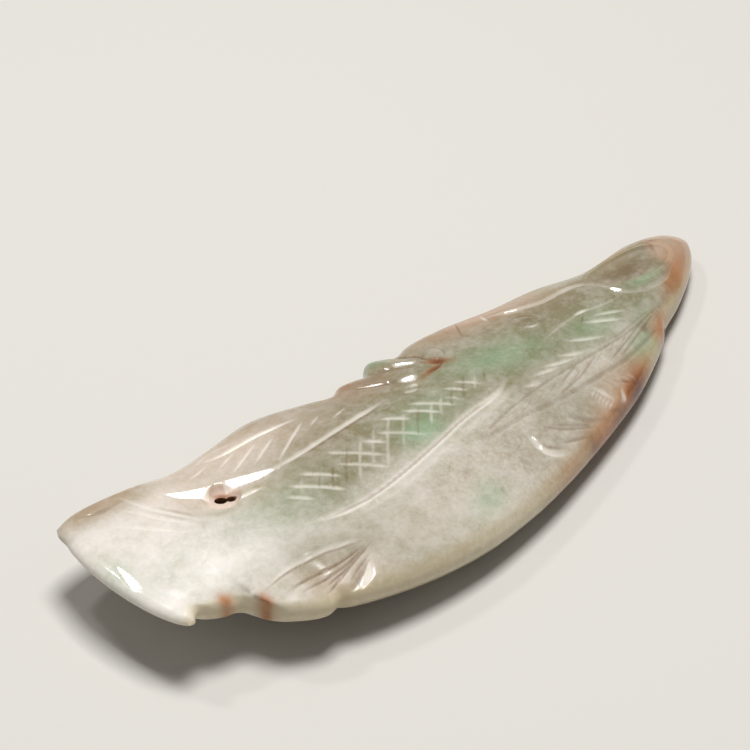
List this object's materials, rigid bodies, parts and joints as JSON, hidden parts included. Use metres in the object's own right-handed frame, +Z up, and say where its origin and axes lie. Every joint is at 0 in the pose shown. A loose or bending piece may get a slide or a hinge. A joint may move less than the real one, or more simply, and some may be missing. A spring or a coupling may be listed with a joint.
{
  "type": "jade fish carving",
  "caption": "Flat fish carved from one pale jade pebble, with a netted flank, ribbed fins, a veined leaf and a drilled eyelet; lies on its side as an ornament.",
  "frame": {"origin": "on the table under the middle of the fish's box, as it lies", "axes": "+X towards the head, +Y towards the back fin, +Z up from the table"},
  "size_m": [0.079, 0.028, 0.0092],
  "materials": {
    "jade": "polished pale jadeite with green and russet patches"
  },
  "bodies": {
    "root": {"jade_fish": "jade"}
  },
  "joints": []
}
